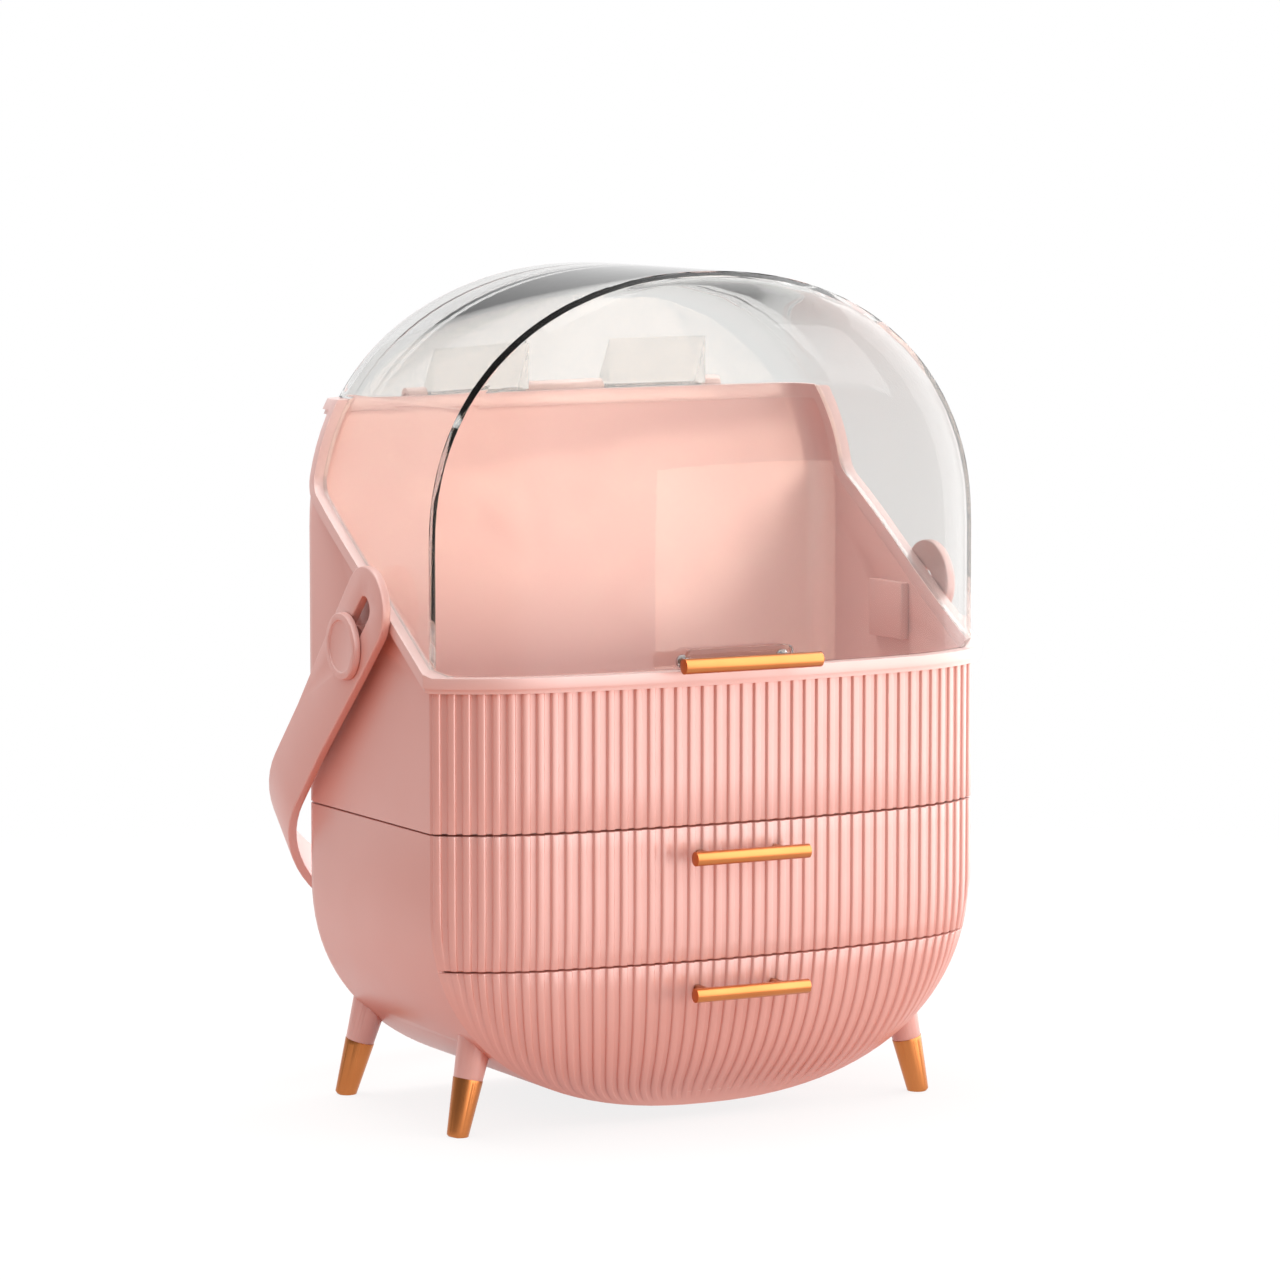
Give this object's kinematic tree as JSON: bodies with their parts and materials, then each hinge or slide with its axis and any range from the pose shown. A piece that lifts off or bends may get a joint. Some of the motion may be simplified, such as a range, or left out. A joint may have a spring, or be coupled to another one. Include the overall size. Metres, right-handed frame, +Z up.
{
  "type": "makeup storage case",
  "caption": "Egg-shaped vanity storage case with a hinged clear dome lid over a display tray, fluted drawers below, splayed legs and a swinging carry handle.",
  "frame": {"origin": "middle of the whole object's footprint, handle included, on the surface that it stands on", "axes": "+X across the case, +Y towards the back, +Z up"},
  "size_m": [0.2838, 0.2586, 0.3593],
  "materials": {
    "pink_plastic": "satin moulded",
    "rim_plastic": "satin moulded",
    "drawer_plastic": "satin moulded",
    "clear_acrylic": "polished clear",
    "gold_metal": "polished, gold coloured",
    "steel": "plain"
  },
  "bodies": {
    "case": {"tray": "pink_plastic", "rim_band": "rim_plastic", "lower_shell": "pink_plastic", "drawer_shelf": "pink_plastic", "upper_runners": "pink_plastic", "lower_runners": "pink_plastic", "hinge_knuckles": "rim_plastic", "hinge_pins": "steel", "pivot_spacers": "pink_plastic", "pivot_retainers": "rim_plastic", "leg_front_left": "pink_plastic", "leg_front_right": "pink_plastic", "leg_back_left": "pink_plastic", "leg_back_right": "pink_plastic", "cap_front_left": "gold_metal", "cap_front_right": "gold_metal", "cap_back_left": "gold_metal", "cap_back_right": "gold_metal", "leg_studs": "steel"},
    "lid": {"lid_dome": "clear_acrylic", "lid_front": "clear_acrylic", "lid_lugs": "clear_acrylic", "lid_tab": "clear_acrylic", "lid_bar": "gold_metal", "lid_bar_screws": "steel"},
    "drawer_upper": {"upper_front": "pink_plastic", "upper_box": "drawer_plastic", "upper_bar": "gold_metal", "upper_bar_screws": "steel", "upper_box_screws": "steel"},
    "drawer_lower": {"lower_front": "pink_plastic", "lower_box": "drawer_plastic", "lower_bar": "gold_metal", "lower_bar_screws": "steel", "lower_box_screws": "steel"},
    "handle_pins": {"handle_pivots": "pink_plastic"},
    "handle": {"handle_strap": "pink_plastic"}
  },
  "joints": [
    {"name": "lid_hinge", "type": "hinge", "parent": "case", "child": "lid", "pos_m": [0, 0.04762, 0.303], "axis": [-1, 0, 0], "range_deg": [0, 100]},
    {"name": "upper_drawer_slide", "type": "slide", "parent": "case", "child": "drawer_upper", "axis": [0, -1, 0], "range_m": [0, 0.09]},
    {"name": "lower_drawer_slide", "type": "slide", "parent": "case", "child": "drawer_lower", "axis": [0, -1, 0], "range_m": [0, 0.09]},
    {"name": "handle_swing", "type": "hinge", "parent": "case", "child": "handle_pins", "pos_m": [0, -0.02518, 0.2027], "axis": [1, 0, 0], "range_deg": [0, 135]},
    {"name": "handle_draw", "type": "slide", "parent": "handle_pins", "child": "handle", "axis": [0, 0.7071, -0.7071], "range_m": [0, 0.024]}
  ],
  "couplings": [
    {"joint": "handle_draw", "follows": "handle_swing", "m_per_rad": 0.01018}
  ]
}
